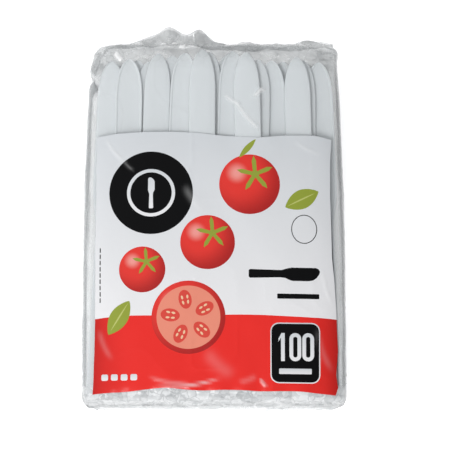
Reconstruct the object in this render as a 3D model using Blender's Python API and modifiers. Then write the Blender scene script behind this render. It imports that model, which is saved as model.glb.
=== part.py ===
"""A pack of one hundred plastic knives, lying on its back in a clear printed film bag.

X runs across the pack, +Y towards the knife tips and +Z up through the printed front.
The knives lie in ten columns. Every second column is turned over, so that the broad
blades pass over and under the blades beside them. The outside knives are single
solids, and the hidden ones of each column are one stack.
"""

import math

import bmesh
import bpy
from mathutils import Matrix, Vector
from mathutils.geometry import delaunay_2d_cdt

MM = 0.001

# One knife: a channel-shaped handle that flattens into a broad blade with low rims.
KNIFE_LENGTH = 163 * MM
HANDLE_END_WIDTH = 6.4 * MM
HANDLE_WIDTH = 9.2 * MM
NECK_WIDTH = 8.4 * MM
BLADE_WIDTH = 13 * MM
TIP_WIDTH = 2.2 * MM
KNIFE_HEIGHT = 3.4 * MM
BLADE_HEIGHT = 1.5 * MM
WEB = 1.2 * MM
RIM = 0.9 * MM
DRAFT = 0.35 * MM
HANDLE_ROUND = 3 * MM
HANDLE_RUN = 74 * MM
NECK_RUN = 10 * MM
BLADE_SWELL = 16 * MM
POINT_LENGTH = 21.6 * MM

# The stack inside the bag.
LAYERS = (8, 10, 10, 11, 11, 11, 11, 10, 10, 8)
LIFTED_LAYERS = (1, 0, 0, 0, 0, 0, 0, 0, 0, 1)
HANDLE_PITCH = 12.4 * MM
TIP_PITCH = 11.2 * MM
KNIFE_GAP = 0.3 * MM
STACK_BITE = 0.15 * MM
PIVOT = 40 * MM
DEEP_SWAY = 0.9 * MM
DEEP_SLIDE = 1.1 * MM

# How far each tip of the two upper layers stands off its column, and how far it slid.
TOP_SWAY = [mm * MM for mm in (1.6, -1.6, 1.3, 2.9, 0.1, 3.5, -1.4, -0.2, 0.6, 0.1)]
TOP_SLIDE = [mm * MM for mm in (0, 0.9, 3.2, 3.0, 4.3, 3.9, 2.9, 0, 1.4, 0.1)]
NEXT_SWAY = [mm * MM for mm in (1.2, 2.2, -3.5, -3.5, 3.5, 1.0, 4.4, 5.2, 3.6, 0.4)]
NEXT_SLIDE = [mm * MM for mm in (0.2, 1.2, 0, 2.6, 3.8, 2.9, 0.2, 0.4, 0.6, 0)]

# The film bag.
FILM = 0.1 * MM
FLOOR_GAP = 0.4 * MM
TOP_SLACK = 0.9 * MM
HANDLE_SIDE_SLACK = 2.5 * MM
TIP_SIDE_SLACK = 2.8 * MM
WIDEST_HEIGHT = 18 * MM
FLAT_HALF_WIDTH = 46 * MM
CROWN_POWER = 2.2
SHOULDER_POWER = 7.0
HEEL_POWER = 4.5
TAPER_POWER = 3.2
SEAL_MOUTH = 0.5 * MM
TOP_STEPS = 38
HEEL_STEPS = 4
FLAT_STEPS = 6
BODY_START = 5 * MM
BODY_STEPS = 12

# Slack in the upper sheet: low waves, and how far their crests run aslant.
RIPPLE = 0.5 * MM
RIPPLE_ALONG = 61 * MM
RIPPLE_ACROSS = 37 * MM
RIPPLE_ALONG_SKEW = 157 * MM
RIPPLE_ACROSS_SKEW = 251 * MM
RIPPLE_PHASE = 1.3

# Pleats at the two ends. Their pitch drifts from side to side.
TIP_GATHER = 1.3 * MM
TIP_GATHER_REACH = 9 * MM
HANDLE_GATHER = 0.7 * MM
HANDLE_GATHER_REACH = 5 * MM
GATHER_PITCH = 15 * MM
GATHER_DRIFT = 203 * MM
GATHER_DRIFT_SIZE = 3.0
SEAL_ROOT_PLEATS = 0.4
SIDE_FADE_POWER = 6

# The pinched left corner by the tips: a notch, and the corner folded in above it.
NOTCH_BEFORE_REACH = 12 * MM
NOTCH_DEPTH = 2.6 * MM
NOTCH_SPREAD = 2.4 * MM
CORNER_FOLD = 5 * MM
CORNER_FOLD_RUN = 13 * MM
CORNER_FOLD_POWER = 1.6
PINCH_FADE_POWER = 8

# The end seal beyond the tips: its shortest length, and lobes as centre, rise, spread.
SEAL_HEIGHT = 25 * MM
SEAL_LENGTH = 1.8 * MM
SEAL_LOBES = [
    [mm * MM for mm in lobe]
    for lobe in (
        (-40, 0.6, 7), (-31, 1.2, 5), (-21.5, 7.4, 8), (-6, 6.2, 5),
        (15, 0.8, 8), (33, -1.1, 7), (47, 1.9, 8),
    )
]

# The printed front, on the film.
PRINT_FILM = 0.1 * MM
PRINT_GAP = 0.35 * MM
PRINT_CELL = 6 * MM
PRINT_CELL_ALONG = 12 * MM
PANEL_LEFT = -56 * MM
PANEL_RIGHT = 56 * MM
PANEL_BOTTOM = 3 * MM
PANEL_TOP = 125 * MM
BAND_TOP = 38 * MM
BAND_GAP = 0.3 * MM
BADGE_CENTRE = (PANEL_LEFT + 26 * MM, PANEL_TOP - 28 * MM)
BADGE_RADIUS = 20 * MM
PLATE_RING_RADIUS = 11.5 * MM
PLATE_RING_WIDTH = 1.6 * MM
COUNT_CENTRE = (PANEL_RIGHT - 17.5 * MM, BAND_TOP - 17.9 * MM)
COUNT_WIDTH = 22.5 * MM
COUNT_HEIGHT = 27.8 * MM
COUNT_CORNER = 3.5 * MM
DIGIT_RAISE = 2.8 * MM
DIGIT_HEIGHT = 13.4 * MM
DIGIT_WIDTH = 5.6 * MM
DIGIT_STROKE = 1.8 * MM
DIGIT_PITCH = 6.1 * MM
KNIFE_SIGN_CENTRE = (PANEL_RIGHT - 22.5 * MM, BAND_TOP + 20 * MM)
KNIFE_SIGN_LENGTH = 34 * MM
KNIFE_SIGN_WIDTH = 7 * MM
TOMATOES = (
    ("tomato_upper", 17 * MM, PANEL_TOP - 24 * MM, 14.5 * MM),
    ("tomato_middle", -3 * MM, BAND_TOP + 35 * MM, 13 * MM),
    ("tomato_lower", -34 * MM, BAND_TOP + 22 * MM, 11 * MM),
)
CUT_TOMATO = (-12 * MM, BAND_TOP - 1 * MM, 17.5 * MM)
CUT_TOMATO_RIND = 2.4 * MM
LEAVES = (
    ("leaf_upper", (34 * MM, PANEL_TOP - 35 * MM), (50 * MM, PANEL_TOP - 27 * MM), 4.6 * MM),
    ("leaf_lower", (-40 * MM, BAND_TOP + 7 * MM), (-50 * MM, BAND_TOP - 9 * MM), 4.4 * MM),
)
LEAF_FULLNESS = 0.8
STALK = ((12 * MM, PANEL_TOP - 8 * MM), (20 * MM, PANEL_TOP - 2 * MM))
STALK_WIDTH = 2.4 * MM

COLUMNS = len(LAYERS)
LAYER_PITCH = KNIFE_HEIGHT + KNIFE_GAP
STACK_FLOOR = FILM + FLOOR_GAP
STACK_TOP = STACK_FLOOR + max(LAYERS) * LAYER_PITCH - KNIFE_GAP
BAG_HEIGHT = STACK_TOP + TOP_SLACK
REACH = KNIFE_LENGTH + max(TOP_SLIDE)
MIDDLE = (COLUMNS - 1) / 2
HANDLE_HALF_WIDTH = MIDDLE * HANDLE_PITCH + HANDLE_WIDTH / 2 + HANDLE_SIDE_SLACK
TIP_HALF_WIDTH = MIDDLE * TIP_PITCH + BLADE_WIDTH / 2 + TIP_SIDE_SLACK

# The bag's two ends, from its outer edge inwards. Each row holds the run of the upper
# sheet past the end, its height as a share of the bag's, the same for the lower sheet,
# and the width as a share of the body's.
HANDLE_END = (
    (-2.7 * MM, 0.070, -2.2 * MM, 0.074, 0.90),
    (-2.5 * MM, 0.150, -2.0 * MM, 0.146, 0.925),
    (-2.1 * MM, 0.232, -1.6 * MM, 0.216, 0.945),
    (-2.1 * MM, 0.380, -1.2 * MM, 0.140, 0.96),
    (-2.1 * MM, 0.600, -1.1 * MM, 0.070, 0.97),
    (-1.8 * MM, 0.800, -0.9 * MM, 0.022, 0.98),
    (-1.1 * MM, 0.925, -0.2 * MM, 0.003, 0.99),
    (0.6 * MM, 0.985, 1.5 * MM, 0.0, 1.0),
)
TIP_END = (
    (0.8 * MM, 0.988, 0.9 * MM, 0.0, 1.0),
    (2.1 * MM, 0.950, 2.4 * MM, 0.035, 0.995),
    (2.9 * MM, 0.860, 3.0 * MM, 0.130, 0.99),
    (3.4 * MM, 0.750, 3.4 * MM, 0.290, 0.985),
    (3.8 * MM, 0.665, 3.8 * MM, 0.460, 0.98),
)
TIP_SEAL_START = 4.4 * MM
TIP_SEAL_WIDTH = 0.97

# Extra sections before the tips' reach, where the left corner is pinched.
PINCH_RUNS = [mm * MM for mm in (18, 14.6, 12, 9, 5)]


def clear_scene():
    for old in list(bpy.data.objects):
        bpy.data.objects.remove(old, do_unlink=True)


def make_collection(name):
    collection = bpy.data.collections.new(name)
    bpy.context.scene.collection.children.link(collection)
    return collection


def make_material(name, colour, roughness, alpha=1.0):
    material = bpy.data.materials.new(name)
    material.use_nodes = True
    shader = material.node_tree.nodes["Principled BSDF"]
    shader.inputs["Base Color"].default_value = (*colour, 1.0)
    shader.inputs["Roughness"].default_value = roughness
    shader.inputs["Metallic"].default_value = 0.0
    shader.inputs["Alpha"].default_value = alpha
    material.diffuse_color = (*colour, alpha)
    return material


def make_object(name, bm, material, collection, parent):
    mesh = bpy.data.meshes.new(name)
    bmesh.ops.recalc_face_normals(bm, faces=bm.faces)
    bm.to_mesh(mesh)
    bm.free()
    mesh.materials.append(material)
    mesh.shade_smooth()
    mesh.set_sharp_from_angle(angle=math.radians(35))
    made = bpy.data.objects.new(name, mesh)
    collection.objects.link(made)
    made.parent = parent
    return made


def solidify(made, thickness, outwards):
    wall = made.modifiers.new("wall", "SOLIDIFY")
    wall.thickness = thickness
    wall.offset = 1.0 if outwards else -1.0
    wall.use_even_offset = False


# One knife.

def point_width(from_tip):
    """The blade's width at a distance from its tip: half an ellipse."""
    share = 1 - min(from_tip / POINT_LENGTH, 1)
    return max(BLADE_WIDTH * math.sqrt(1 - share * share), TIP_WIDTH)


def knife_stations(detailed):
    """Where the sections stand along the knife, with each one's width and depth."""
    neck = HANDLE_RUN + NECK_RUN
    rows = [(0.0, HANDLE_END_WIDTH, KNIFE_HEIGHT)]
    if detailed:
        rows.append((HANDLE_ROUND, HANDLE_WIDTH, KNIFE_HEIGHT))
    rows.append((HANDLE_RUN, NECK_WIDTH, KNIFE_HEIGHT))
    rows.append((neck, NECK_WIDTH, BLADE_HEIGHT))
    rows.append((neck + BLADE_SWELL, BLADE_WIDTH, BLADE_HEIGHT))
    shares = (1.0, 0.5, 0.2, 0.0) if detailed else (1.0, 0.4, 0.0)
    for share in shares:
        from_tip = share * POINT_LENGTH
        rows.append((KNIFE_LENGTH - from_tip, point_width(from_tip), BLADE_HEIGHT))
    return rows


def knife_section(width, depth):
    """A channel seen from its end, open downwards, with its web at KNIFE_HEIGHT."""
    draft = min(DRAFT, 0.1 * width)
    rim = min(RIM, 0.25 * width)
    half = width / 2
    foot = KNIFE_HEIGHT - depth
    web_foot = KNIFE_HEIGHT - WEB
    right = [
        (half - draft, KNIFE_HEIGHT),
        (half, foot),
        (half - rim, foot),
        (half - rim - draft, web_foot),
    ]
    left = [(-x, z) for x, z in reversed(right)]
    return right + left


def knife_bmesh(detailed=True, bite=0.0):
    """One knife along +Y, its handle end at the origin. A bite deepens the handle."""
    bm = bmesh.new()
    rings = []
    for run, width, depth in knife_stations(detailed):
        deeper = bite if depth == KNIFE_HEIGHT else 0.0
        ring = [bm.verts.new((x, run, z)) for x, z in knife_section(width, depth + deeper)]
        rings.append(ring)
    for near, far in zip(rings, rings[1:]):
        for i, corner in enumerate(near):
            j = (i + 1) % len(near)
            bm.faces.new((corner, near[j], far[j], far[i]))
    bm.faces.new(rings[0])
    bm.faces.new(rings[-1])
    return bm


# Where each knife lies.

def knife_sway(column, layer):
    """How far the tip stands off its column, and how far the knife slid along it."""
    from_top = LAYERS[column] - 1 - layer
    if from_top == 0:
        return TOP_SWAY[column], TOP_SLIDE[column]
    if from_top == 1:
        return NEXT_SWAY[column], NEXT_SLIDE[column]
    wander = math.sin(2.3 * column + 1.7 * layer)
    slide = math.sin(1.1 * column + 2.9 * layer)
    if column in (0, COLUMNS - 1):
        inwards = 1 if column == 0 else -1
        wander = inwards * abs(wander)
    return DEEP_SWAY * wander, DEEP_SLIDE * (1 + slide)


def knife_place(column, layer):
    """The matrix that lays a knife in its column and layer."""
    sway, slide = knife_sway(column, layer)
    across = column - MIDDLE
    foot = Vector((across * HANDLE_PITCH, 0, 0))
    tip = Vector((across * TIP_PITCH, KNIFE_LENGTH, 0))
    way = (tip - foot).normalized()
    pivot = foot + way * PIVOT
    lean = math.atan2(way.x, way.y) + sway / (KNIFE_LENGTH - PIVOT)
    height = STACK_FLOOR + (layer + LIFTED_LAYERS[column]) * LAYER_PITCH
    place = Matrix.Translation(pivot + Vector((0, slide, height)))
    place = place @ Matrix.Rotation(-lean, 4, "Z") @ Matrix.Translation((0, -PIVOT, 0))
    if column % 2:
        centre = Matrix.Translation((0, 0, KNIFE_HEIGHT / 2))
        place = place @ centre @ Matrix.Rotation(math.pi, 4, "Y") @ centre.inverted()
    return place


def is_outside(column, layer):
    """True for a knife that lies against the film."""
    return layer in (0, LAYERS[column] - 1) or column in (0, COLUMNS - 1)


def add_knife(name, column, layer, bm, material, collection, frame):
    made = make_object(name, bm, material, collection, frame)
    made.matrix_local = knife_place(column, layer)
    return made


def add_stack(number, column, layers, material, collection, frame):
    """The hidden knives of one column, pressed into each other and joined."""
    others = make_collection(f"knives_joined_to_stack_{number:02d}")
    stack = None
    for layer in layers:
        free_side = layers[-1] if column % 2 else layers[0]
        bite = 0.0 if layer == free_side else KNIFE_GAP + STACK_BITE
        bm = knife_bmesh(detailed=False, bite=bite)
        if stack is None:
            name = f"knife_stack_{number:02d}"
            stack = add_knife(name, column, layer, bm, material, collection, frame)
            continue
        name = f"joined_{number:02d}_{layer:02d}"
        other = add_knife(name, column, layer, bm, material, others, frame)
        other.hide_render = True
        other.display_type = "WIRE"
    join = stack.modifiers.new("join", "BOOLEAN")
    join.operation = "UNION"
    join.solver = "EXACT"
    join.operand_type = "COLLECTION"
    join.collection = others


def add_knives(material, collection, frame):
    single = 0
    stacks = 0
    for column in range(COLUMNS):
        hidden = []
        for layer in range(LAYERS[column]):
            if not is_outside(column, layer):
                hidden.append(layer)
                continue
            single += 1
            name = f"knife_{single:02d}"
            add_knife(name, column, layer, knife_bmesh(), material, collection, frame)
        if hidden:
            stacks += 1
            add_stack(stacks, column, hidden, material, collection, frame)


# The film bag: sections run round it, and each end closes to a narrow mouth.

def crown(share):
    """Height above the widest line, as a share, at a share of the half width."""
    return (1 - min(abs(share), 1) ** CROWN_POWER) ** (1 / SHOULDER_POWER)


def half_width(run):
    """The body's half width at a distance from the handle ends."""
    share = min(max(run / REACH, 0), 1) ** TAPER_POWER
    return HANDLE_HALF_WIDTH + (TIP_HALF_WIDTH - HANDLE_HALF_WIDTH) * share


def spaced(points, steps):
    """The same path with its points evenly spaced."""
    runs = [0.0]
    for a, b in zip(points, points[1:]):
        runs.append(runs[-1] + math.dist(a, b))
    path = []
    k = 0
    for step in range(steps + 1):
        wanted = runs[-1] * step / steps
        while k < len(runs) - 2 and runs[k + 1] < wanted:
            k += 1
        part = (wanted - runs[k]) / (runs[k + 1] - runs[k])
        path.append([a + (b - a) * part for a, b in zip(points[k], points[k + 1])])
    return path


def bag_section():
    """The section as shares of half width and height, from the left side over the top."""
    fine = 400
    wide = HANDLE_HALF_WIDTH
    top = []
    for i in range(fine + 1):
        x = -math.cos(math.pi * i / fine)
        z = WIDEST_HEIGHT + (BAG_HEIGHT - WIDEST_HEIGHT) * crown(x)
        top.append((x * wide, z))
    heel = []
    for i in range(fine + 1):
        turn = 0.5 * math.pi * i / fine
        out = math.cos(turn) ** (2 / HEEL_POWER)
        down = math.sin(turn) ** (2 / HEEL_POWER)
        x = FLAT_HALF_WIDTH + (wide - FLAT_HALF_WIDTH) * out
        heel.append((x, WIDEST_HEIGHT * (1 - down)))
    ring = spaced(top, TOP_STEPS)[:-1] + spaced(heel, HEEL_STEPS)[:-1]
    flat = [(FLAT_HALF_WIDTH * (1 - 2 * i / FLAT_STEPS), 0.0) for i in range(FLAT_STEPS + 1)]
    other_heel = [(-x, z) for x, z in reversed(spaced(heel, HEEL_STEPS)[1:-1])]
    ring += flat + other_heel
    return [(x / wide, z / BAG_HEIGHT) for x, z in ring]


def ripple(x, run):
    """Slack in the upper sheet, always outwards."""
    turn = 2 * math.pi
    along = math.sin(turn * (run / RIPPLE_ALONG + x / RIPPLE_ALONG_SKEW))
    across = math.sin(turn * (x / RIPPLE_ACROSS + run / RIPPLE_ACROSS_SKEW) + RIPPLE_PHASE)
    return RIPPLE * (1 + along * across) / 2


def pleat(x):
    """Pleats across an end, between minus one and one."""
    drift = GATHER_DRIFT_SIZE * math.sin(2 * math.pi * x / GATHER_DRIFT)
    return math.sin(2 * math.pi * x / GATHER_PITCH + drift)


def side_fade(across):
    """One over the middle of the upper sheet and nothing at the sides."""
    return 1 - min(abs(across), 1) ** SIDE_FADE_POWER


def gather(x, run):
    """How far the upper sheet is puffed up by the pleats of the nearer end."""
    to_tips = max(REACH + TIP_SEAL_START - run, 0) / TIP_GATHER_REACH
    to_handles = abs(run) / HANDLE_GATHER_REACH
    size = TIP_GATHER * math.exp(-to_tips) + HANDLE_GATHER * math.exp(-to_handles)
    return size * (1 + pleat(x))


def seal_length(x):
    length = SEAL_LENGTH
    for centre, rise, spread in SEAL_LOBES:
        length += rise * math.exp(-(((x - centre) / spread) ** 2))
    return length


def bag_stations():
    """Rows of upper run and height, lower run and height, half width and seal share."""
    rows = []
    for up_run, up, low_run, low, wide in HANDLE_END:
        rows.append((up_run, up * BAG_HEIGHT, low_run, low * BAG_HEIGHT, wide * half_width(0), 0))
    last = REACH - PINCH_RUNS[0]
    runs = [BODY_START + (last - BODY_START) * i / BODY_STEPS for i in range(BODY_STEPS)]
    for run in runs + [REACH - before for before in PINCH_RUNS]:
        rows.append((run, BAG_HEIGHT, run, 0.0, half_width(run), 0))
    for up_run, up, low_run, low, wide in TIP_END:
        width = wide * half_width(REACH)
        rows.append((REACH + up_run, up * BAG_HEIGHT, REACH + low_run, low * BAG_HEIGHT, width, 0))
    for share in (0.0, 0.5, 1.0):
        run = REACH + TIP_SEAL_START
        high = SEAL_HEIGHT + SEAL_MOUTH / 2
        low = SEAL_HEIGHT - SEAL_MOUTH / 2
        rows.append((run, high, run, low, TIP_SEAL_WIDTH * half_width(REACH), share))
    return rows


def left_pinch(run):
    """How far the left side is drawn in near the tips."""
    from_notch = (run - (REACH - NOTCH_BEFORE_REACH)) / NOTCH_SPREAD
    fold = min(max((run - (REACH + TIP_SEAL_START)) / CORNER_FOLD_RUN + 1, 0), 1)
    notch = NOTCH_DEPTH * math.exp(-from_notch * from_notch)
    return notch + CORNER_FOLD * fold ** CORNER_FOLD_POWER


def bag_point(station, across, rise):
    """One point of the bag: across is a share of the half width, rise of the height."""
    up_run, up, low_run, low, wide, seal = station
    run = low_run + (up_run - low_run) * rise
    x = across * wide
    if across < 0:
        x += left_pinch(run) * across ** PINCH_FADE_POWER
    z = low + (up - low) * rise
    upper = max(rise - WIDEST_HEIGHT / BAG_HEIGHT, 0) * side_fade(across)
    z += upper * (ripple(x, run) + gather(x, run))
    if run > REACH + TIP_SEAL_START - FILM:
        pleats = SEAL_ROOT_PLEATS + (1 - SEAL_ROOT_PLEATS) * seal
        z += pleats * TIP_GATHER * pleat(x) * side_fade(across)
        run += seal * seal_length(x)
    return Vector((x, run, z))


def add_bag(material, collection, frame):
    bm = bmesh.new()
    ring_shape = bag_section()
    rings = []
    for station in bag_stations():
        rings.append([bm.verts.new(bag_point(station, x, z)) for x, z in ring_shape])
    for near, far in zip(rings, rings[1:]):
        for i, corner in enumerate(near):
            j = (i + 1) % len(near)
            bm.faces.new((corner, near[j], far[j], far[i]))
    under = [face for face in bm.faces if all(abs(v.co.z) < 0.01 * MM for v in face.verts)]
    bmesh.ops.dissolve_faces(bm, faces=under, use_verts=False)
    made = make_object("film_bag", bm, material, collection, frame)
    solidify(made, FILM, outwards=False)
    return made


# The print: flat outlines laid over the bag's upper sheet.

def sheet_point(x, run, lift):
    """A point above the bag's upper sheet, along the sheet's own normal."""
    def height(a, b):
        share = crown(a / half_width(b))
        level = WIDEST_HEIGHT + (BAG_HEIGHT - WIDEST_HEIGHT) * share
        rise = level / BAG_HEIGHT - WIDEST_HEIGHT / BAG_HEIGHT
        slack = ripple(a, b) + gather(a, b)
        return level + rise * side_fade(a / half_width(b)) * slack
    step = 0.5 * MM
    z = height(x, run)
    slope_x = (height(x + step, run) - height(x - step, run)) / (2 * step)
    slope_y = (height(x, run + step) - height(x, run - step)) / (2 * step)
    normal = Vector((-slope_x, -slope_y, 1)).normalized()
    return Vector((x, run, z)) + normal * lift


def inside(point, loops):
    """True where a point lies within the outer loop and outside the holes."""
    x, y = point
    odd = False
    for loop in loops:
        for (ax, ay), (bx, by) in zip(loop, loop[1:] + loop[:1]):
            if (ay > y) != (by > y) and x < ax + (bx - ax) * (y - ay) / (by - ay):
                odd = not odd
    return odd


def nearest_edge(point, loops):
    """How far a point lies from the outline."""
    p = Vector(point)
    best = math.inf
    for loop in loops:
        for a, b in zip(loop, loop[1:] + loop[:1]):
            a = Vector(a)
            way = Vector(b) - a
            share = min(max((p - a).dot(way) / way.dot(way), 0), 1)
            best = min(best, (p - a - way * share).length)
    return best


def divided(loop):
    """The outline with no side longer than a print cell."""
    points = []
    for a, b in zip(loop, loop[1:] + loop[:1]):
        cells = math.hypot((b[0] - a[0]) / PRINT_CELL, (b[1] - a[1]) / PRINT_CELL_ALONG)
        parts = max(1, math.ceil(cells - 0.01))
        points += [tuple(p + (q - p) * i / parts for p, q in zip(a, b)) for i in range(parts)]
    return points


def add_print(name, loops, level, material, collection, frame):
    """A thin skin of one colour, following the bag's upper sheet."""
    loops = [divided(loop) for loop in loops]
    points = [Vector(p) for loop in loops for p in loop]
    edges = []
    for loop in loops:
        start = len(edges)
        edges += [(start + i, start + (i + 1) % len(loop)) for i in range(len(loop))]
    low = [min(p[i] for p in points) for i in (0, 1)]
    high = [max(p[i] for p in points) for i in (0, 1)]
    columns = round((high[0] - low[0]) / PRINT_CELL)
    rows = round((high[1] - low[1]) / PRINT_CELL_ALONG)
    for i in range(1, columns):
        for j in range(1, rows):
            x = low[0] + (high[0] - low[0]) * i / columns
            y = low[1] + (high[1] - low[1]) * j / rows
            if inside((x, y), loops) and nearest_edge((x, y), loops) > 0.4 * PRINT_CELL:
                points.append(Vector((x, y)))
    with_holes = 2
    flat = delaunay_2d_cdt(points, edges, [], with_holes, 1e-7)
    lift = PRINT_GAP + level * (PRINT_GAP + PRINT_FILM)
    bm = bmesh.new()
    verts = [bm.verts.new(sheet_point(p.x, p.y, lift)) for p in flat[0]]
    for face in flat[2]:
        bm.faces.new([verts[i] for i in face])
    for vert in [v for v in bm.verts if not v.link_faces]:
        bm.verts.remove(vert)
    bmesh.ops.recalc_face_normals(bm, faces=bm.faces)
    if sum(face.normal.z for face in bm.faces) < 0:
        bmesh.ops.reverse_faces(bm, faces=bm.faces)
    made = make_object(name, bm, material, collection, frame)
    solidify(made, PRINT_FILM, outwards=True)


def box_loop(left, bottom, right, top):
    return [(left, bottom), (right, bottom), (right, top), (left, top)]


def round_loop(centre, radius, steps, tall=None):
    """A circle, or an ellipse where the upright radius differs."""
    tall = radius if tall is None else tall
    turns = [2 * math.pi * i / steps for i in range(steps)]
    return [(centre[0] + radius * math.cos(a), centre[1] + tall * math.sin(a)) for a in turns]


def rounded_box(centre, wide, tall, corner, steps=4):
    loop = []
    for quarter, (sx, sy) in enumerate(((1, 1), (-1, 1), (-1, -1), (1, -1))):
        for i in range(steps + 1):
            turn = math.pi / 2 * (quarter + i / steps)
            x = centre[0] + sx * (wide / 2 - corner) + corner * math.cos(turn)
            y = centre[1] + sy * (tall / 2 - corner) + corner * math.sin(turn)
            loop.append((x, y))
    return loop


def bar_loop(start, end, width):
    """A straight bar with its two ends."""
    way = (Vector(end) - Vector(start)).normalized() * width / 2
    side = Vector((-way.y, way.x))
    a, b = Vector(start), Vector(end)
    return [tuple(a - side), tuple(b - side), tuple(b + side), tuple(a + side)]


def leaf_loop(start, end, bulge, steps=7):
    """A pointed leaf between two places."""
    a, b = Vector(start), Vector(end)
    way = b - a
    side = Vector((-way.y, way.x)).normalized() * bulge
    shares = [i / steps for i in range(steps + 1)]
    swell = [side * max(math.sin(math.pi * s), 0) ** LEAF_FULLNESS for s in shares]
    right = [a + way * s - out for s, out in zip(shares, swell)]
    left = [a + way * s + out for s, out in zip(shares, swell)]
    return [tuple(p) for p in right + left[-2:0:-1]]


def sign_knife_loop(centre, length, width, turned=False):
    """A plain knife seen flat: a slim handle and a broad rounded blade."""
    x0 = -length / 2
    outline = [
        (x0, -0.30 * width),
        (x0 + 0.46 * length, -0.26 * width),
        (x0 + 0.58 * length, -0.5 * width),
        (x0 + 0.84 * length, -0.5 * width),
        (x0 + 0.95 * length, -0.28 * width),
        (x0 + length, 0.16 * width),
        (x0 + 0.94 * length, 0.42 * width),
        (x0 + 0.58 * length, 0.42 * width),
        (x0 + 0.46 * length, 0.24 * width),
        (x0, 0.30 * width),
    ]
    if turned:
        outline = [(-y, x) for x, y in outline]
    return [(centre[0] + x, centre[1] + y) for x, y in outline]


def add_prints(inks, collection, frame):
    def lay(name, loops, level, ink):
        add_print(name, loops, level, inks[ink], collection, frame)

    band_edge = BAND_TOP - BAND_GAP
    lay("white_panel", [box_loop(PANEL_LEFT, BAND_TOP, PANEL_RIGHT, PANEL_TOP)], 0, "white")
    lay("red_band", [box_loop(PANEL_LEFT, PANEL_BOTTOM, PANEL_RIGHT, band_edge)], 0, "red")
    lay("badge_disc", [round_loop(BADGE_CENTRE, BADGE_RADIUS, 28)], 1, "black")
    ring = [
        round_loop(BADGE_CENTRE, PLATE_RING_RADIUS, 24),
        round_loop(BADGE_CENTRE, PLATE_RING_RADIUS - PLATE_RING_WIDTH, 24),
    ]
    lay("badge_plate_ring", ring, 2, "white")
    sign = sign_knife_loop(KNIFE_SIGN_CENTRE, KNIFE_SIGN_LENGTH, KNIFE_SIGN_WIDTH)
    lay("knife_sign", [sign], 1, "black")
    plate = rounded_box(COUNT_CENTRE, COUNT_WIDTH, COUNT_HEIGHT, COUNT_CORNER)
    lay("count_plate", [plate], 1, "black")
    x = COUNT_CENTRE[0]
    y = COUNT_CENTRE[1] + DIGIT_RAISE
    one = (x - DIGIT_PITCH, y - DIGIT_HEIGHT / 2), (x - DIGIT_PITCH, y + DIGIT_HEIGHT / 2)
    lay("digit_one", [bar_loop(*one, DIGIT_STROKE)], 2, "white")
    for name, centre in (("digit_zero_left", (x, y)), ("digit_zero_right", (x + DIGIT_PITCH, y))):
        wide, tall = DIGIT_WIDTH / 2, DIGIT_HEIGHT / 2
        outer = round_loop(centre, wide, 16, tall)
        inner = round_loop(centre, wide - DIGIT_STROKE, 16, tall - DIGIT_STROKE)
        lay(name, [outer, inner], 2, "white")
    for name, tx, ty, radius in TOMATOES:
        lay(name, [round_loop((tx, ty), radius, 20)], 1, "tomato")
    cx, cy, radius = CUT_TOMATO
    lay("cut_tomato", [round_loop((cx, cy), radius, 22)], 1, "tomato")
    lay("cut_tomato_flesh", [round_loop((cx, cy), radius - CUT_TOMATO_RIND, 18)], 2, "flesh")
    for name, start, end, bulge in LEAVES:
        lay(name, [leaf_loop(start, end, bulge)], 1, "leaf")
    lay("tomato_stalk", [bar_loop(*STALK, STALK_WIDTH)], 1, "leaf")


def main():
    clear_scene()
    pack = make_collection("knife_pack")
    frame = bpy.data.objects.new("pack_frame", None)
    pack.objects.link(frame)
    white_plastic = make_material("white_plastic", (0.68, 0.72, 0.74), 0.35)
    clear_film = make_material("clear_film", (0.85, 0.88, 0.88), 0.12, alpha=0.3)
    inks = {
        "white": make_material("white_print", (0.72, 0.74, 0.76), 0.25),
        "red": make_material("red_print", (0.84, 0.03, 0.02), 0.25),
        "black": make_material("black_print", (0.012, 0.012, 0.014), 0.25),
        "tomato": make_material("tomato_print", (0.62, 0.03, 0.025), 0.25),
        "flesh": make_material("flesh_print", (0.85, 0.42, 0.22), 0.25),
        "leaf": make_material("leaf_print", (0.30, 0.36, 0.04), 0.25),
    }
    add_knives(white_plastic, pack, frame)
    bag = add_bag(clear_film, pack, frame)
    add_prints(inks, pack, frame)
    corners = [vertex.co for vertex in bag.data.vertices]
    middle = [(min(c[i] for c in corners) + max(c[i] for c in corners)) / 2 for i in (0, 1)]
    frame.location = (-middle[0], -middle[1], 0.0)


main()
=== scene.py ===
"""The looks of a pack of one hundred plastic knives, lying on its back in a clear printed bag.

The film, its print and every knife are modelled again, finely, where the frame has them.
X runs across the pack, +Y towards the knife tips and +Z up through the printed front.
Runs are measured along the pack from the knives' handle ends.
"""

import math

import bpy
import numpy as np
from mathutils import Matrix, Vector
from mathutils.geometry import delaunay_2d_cdt


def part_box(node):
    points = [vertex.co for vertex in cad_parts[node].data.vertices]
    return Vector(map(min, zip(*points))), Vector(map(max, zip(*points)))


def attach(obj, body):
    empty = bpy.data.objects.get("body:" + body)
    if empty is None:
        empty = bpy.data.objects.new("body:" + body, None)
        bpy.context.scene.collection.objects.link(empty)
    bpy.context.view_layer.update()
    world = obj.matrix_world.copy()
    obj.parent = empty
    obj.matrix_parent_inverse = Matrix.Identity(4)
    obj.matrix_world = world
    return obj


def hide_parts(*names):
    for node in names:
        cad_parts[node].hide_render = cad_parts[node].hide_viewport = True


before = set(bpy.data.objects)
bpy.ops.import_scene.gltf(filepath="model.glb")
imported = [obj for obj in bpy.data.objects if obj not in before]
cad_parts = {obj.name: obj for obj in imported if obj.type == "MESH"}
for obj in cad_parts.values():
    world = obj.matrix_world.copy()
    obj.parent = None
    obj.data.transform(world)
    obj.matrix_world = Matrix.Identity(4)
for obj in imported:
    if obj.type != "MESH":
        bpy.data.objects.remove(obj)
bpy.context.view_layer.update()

MM = 0.001

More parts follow.
